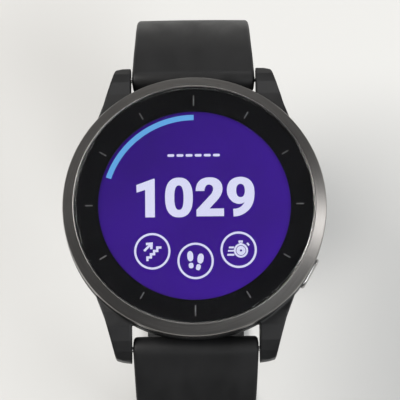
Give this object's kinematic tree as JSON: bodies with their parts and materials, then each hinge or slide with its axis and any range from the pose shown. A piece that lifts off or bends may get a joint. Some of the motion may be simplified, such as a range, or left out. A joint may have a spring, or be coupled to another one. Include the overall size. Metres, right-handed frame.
{
  "type": "gps running watch",
  "caption": "Round wrist-worn sports watch with a satin metal bezel, lit round display, side buttons, optical sensor back and a silicone buckle strap.",
  "frame": {"origin": "on the surface that the strap's tail rests on, under the axis of the round head", "axes": "+Z out of the cover lens, +Y towards 12 o'clock, +X towards 3 o'clock, the button side"},
  "size_m": [0.0454, 0.0813, 0.0868],
  "materials": {
    "cover_glass": "polished, scratch-resistant, flat",
    "bezel_steel": "satin, dark tint, circular brushing",
    "case_polymer": "fine texture, fibre-reinforced polymer",
    "cover_polymer": "fine texture",
    "dial_black": "printed black with grey hour marks",
    "display_panel": "lit display",
    "holder_black": "moulded",
    "adhesive": "foam tape",
    "silicone_black": "soft matte silicone",
    "seal_rubber": "red-brown silicone seal",
    "board_green": "solder mask",
    "can_nickel": "nickel silver",
    "chip_black": "moulding compound",
    "cell_foil": "laminated pouch",
    "flex_amber": "polyimide",
    "antenna_copper": "plated copper",
    "contact_gold": "gold plated",
    "motor_steel": "drawn can",
    "tungsten": "sintered",
    "sensor_black": "polished optical window",
    "led_green": "clear lens over green emitter",
    "photodiode": "filtered window",
    "vent_membrane": "porous membrane",
    "button_steel": "satin",
    "hardware_steel": "turned stainless steel",
    "buckle_steel": "dark satin"
  },
  "bodies": {
    "watch_head": {"cover_lens": "cover_glass", "lens_gasket": "adhesive", "bezel_ring": "bezel_steel", "dial_mask": "dial_black", "display_module": "display_panel", "display_holder": "holder_black", "display_flex": "flex_amber", "mid_case": "case_polymer", "main_board": "board_green", "shield_cans": "can_nickel", "board_chips": "chip_black", "battery": "cell_foil", "battery_tray": "holder_black", "gps_antenna": "antenna_copper", "wireless_antenna": "antenna_copper", "pressure_vent": "vent_membrane", "vibration_motor": "motor_steel", "rear_cover": "cover_polymer", "rear_seal": "seal_rubber", "case_screws": "hardware_steel", "sensor_window": "sensor_black", "sensor_baffle": "holder_black", "sensor_board": "board_green", "sensor_leds": "led_green", "sensor_photodiodes": "photodiode", "sensor_flex": "flex_amber", "charge_socket": "holder_black", "charge_contacts": "contact_gold", "upper_button_seal": "seal_rubber", "upper_switch": "can_nickel", "lower_button_seal": "seal_rubber", "lower_switch": "can_nickel"},
    "upper_button_group": {"upper_button": "button_steel", "upper_button_clip": "hardware_steel", "upper_switch_plunger": "holder_black"},
    "lower_button_group": {"lower_button": "button_steel", "lower_button_clip": "hardware_steel", "lower_switch_plunger": "holder_black"},
    "motor_rotor": {"vibration_rotor": "tungsten"},
    "upper_strap_group": {"upper_strap": "silicone_black", "upper_spring_bar": "hardware_steel", "upper_bar_spring": "hardware_steel", "buckle_bar": "hardware_steel"},
    "lower_strap_group": {"lower_strap": "silicone_black", "lower_spring_bar": "hardware_steel", "lower_bar_spring": "hardware_steel"},
    "upper_pin_group": {"upper_release_pin": "hardware_steel"},
    "lower_pin_group": {"lower_release_pin": "hardware_steel"},
    "buckle_frame_group": {"buckle_frame": "buckle_steel"},
    "buckle_tongue_group": {"buckle_tongue": "buckle_steel"},
    "keeper_group": {"keeper_loop": "silicone_black"}
  },
  "joints": [
    {"name": "upper_strap_pivot", "type": "hinge", "parent": "watch_head", "child": "upper_strap_group", "pos_m": [0, 0.02395, 0.0788], "axis": [1, 0, 0], "range_deg": [-10, 50]},
    {"name": "lower_strap_pivot", "type": "hinge", "parent": "watch_head", "child": "lower_strap_group", "pos_m": [0, -0.02395, 0.0788], "axis": [-1, 0, 0], "range_deg": [0, 50]},
    {"name": "buckle_frame_pivot", "type": "hinge", "parent": "upper_strap_group", "child": "buckle_frame_group", "pos_m": [0, 0.01428, 0.02129], "axis": [1, 0, 0], "range_deg": [-60, 60]},
    {"name": "buckle_tongue_pivot", "type": "hinge", "parent": "buckle_frame_group", "child": "buckle_tongue_group", "pos_m": [0, 0.01428, 0.02129], "axis": [1, 0, 0], "range_deg": [0, 60]},
    {"name": "upper_button_press", "type": "slide", "parent": "watch_head", "child": "upper_button_group", "axis": [-0.8678, -0.497, 0], "range_m": [0, 0.0004], "stiffness_N_per_m": 3000, "springref_m": -0.0003},
    {"name": "lower_button_press", "type": "slide", "parent": "watch_head", "child": "lower_button_group", "axis": [-0.8678, 0.497, 0], "range_m": [0, 0.0004], "stiffness_N_per_m": 3000, "springref_m": -0.0003},
    {"name": "upper_pin_release", "type": "slide", "parent": "upper_strap_group", "child": "upper_pin_group", "axis": [-1, 0, 0], "range_m": [0, 0.0013], "stiffness_N_per_m": 600, "springref_m": -0.001},
    {"name": "lower_pin_release", "type": "slide", "parent": "lower_strap_group", "child": "lower_pin_group", "axis": [-1, 0, 0], "range_m": [0, 0.0013], "stiffness_N_per_m": 600, "springref_m": -0.001},
    {"name": "keeper_slide", "type": "hinge", "parent": "upper_strap_group", "child": "keeper_group", "pos_m": [0, 0.00134, 0.0577], "axis": [1, 0, 0], "range_deg": [-3, 28]},
    {"name": "motor_spin", "type": "hinge", "parent": "watch_head", "child": "motor_rotor", "pos_m": [0.0035, 0.0142, 0.07865], "axis": [0, 0, 1], "continuous": true}
  ]
}
